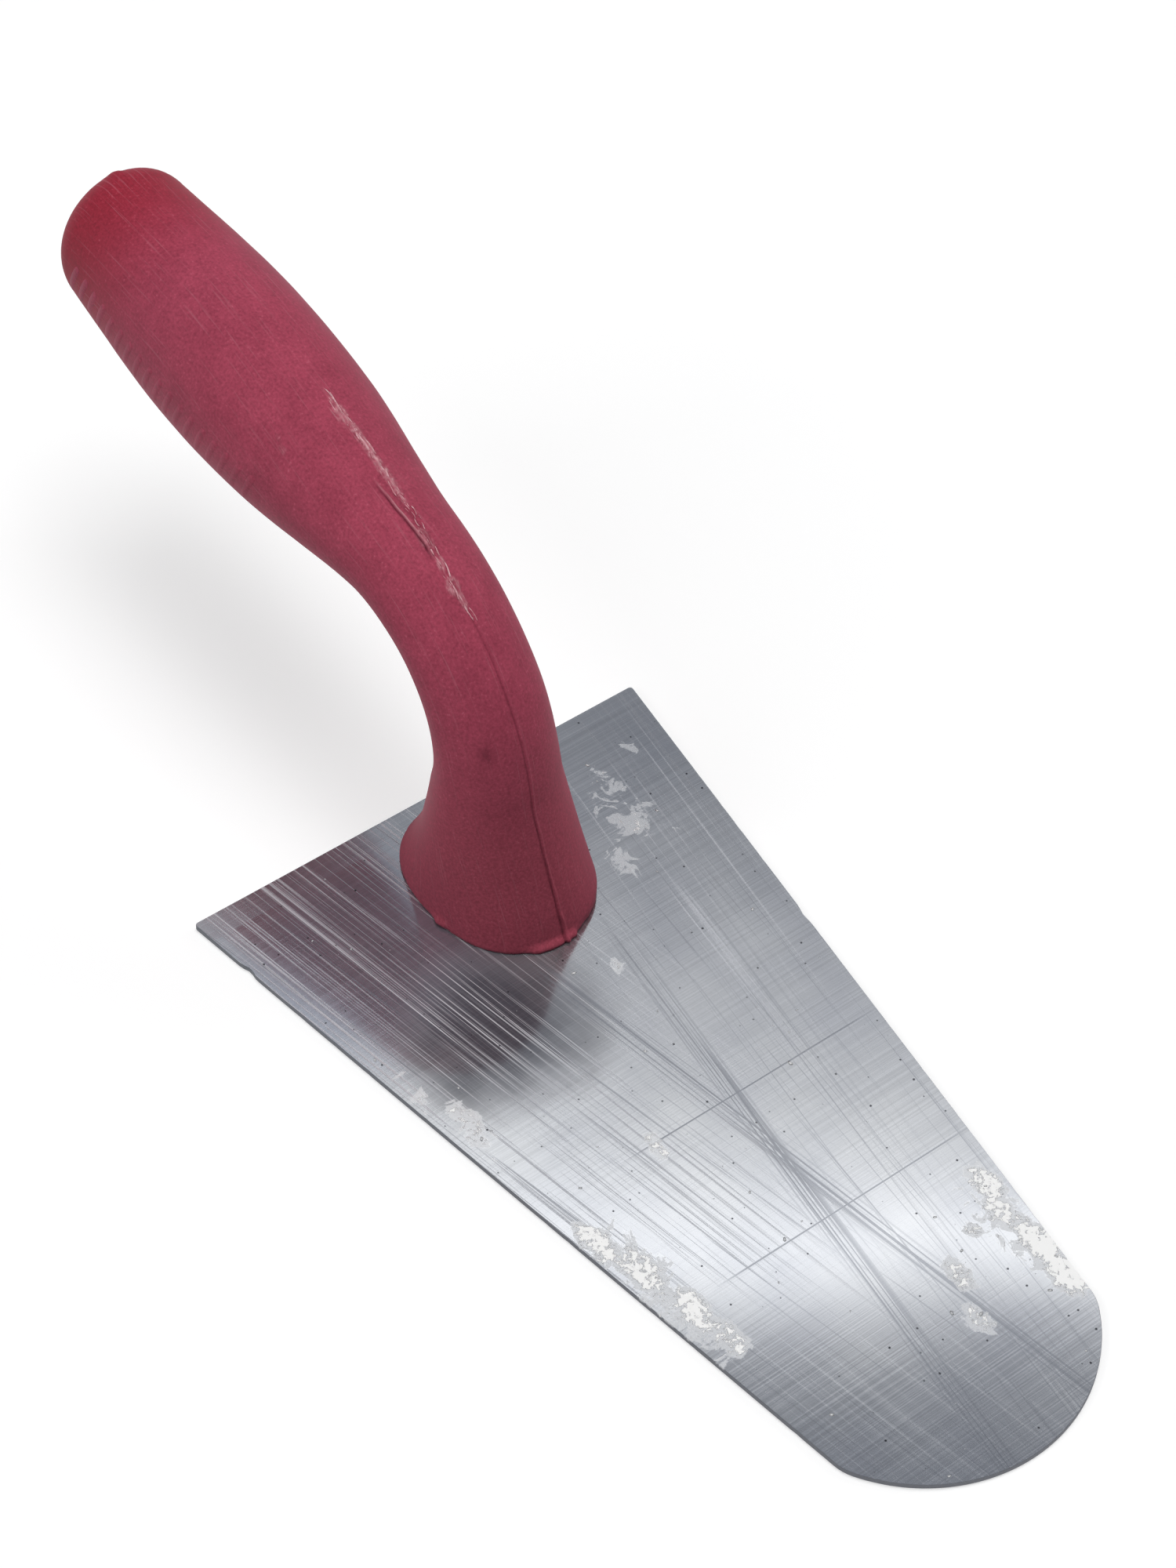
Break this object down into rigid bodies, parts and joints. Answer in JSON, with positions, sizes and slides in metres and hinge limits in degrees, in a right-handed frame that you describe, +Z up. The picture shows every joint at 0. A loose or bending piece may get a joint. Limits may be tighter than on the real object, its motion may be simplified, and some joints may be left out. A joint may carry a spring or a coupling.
{
  "type": "hand trowel",
  "caption": "Mason's hand trowel: a flat, round-nosed steel blade on a bent, welded tang with a moulded red plastic grip.",
  "frame": {"origin": "on the blade's flat underside, below the middle of the grip's foot, where the tang stands", "axes": "+X towards the blade's nose, +Y to the left seen from the heel, +Z up out of the blade towards the grip"},
  "size_m": [0.2828, 0.1038, 0.0931],
  "materials": {
    "rolled_blade_steel": "cold-rolled sheet, ground across, scratched in use",
    "black_bar_steel": "dark, as rolled",
    "weld_metal": "as welded",
    "red_polypropylene": "moulded, finely grained, satin"
  },
  "bodies": {
    "root": {"blade": "rolled_blade_steel", "foot_plate": "black_bar_steel", "foot_weld": "weld_metal", "tang": "black_bar_steel", "tang_weld": "weld_metal", "grip": "red_polypropylene"}
  },
  "joints": []
}
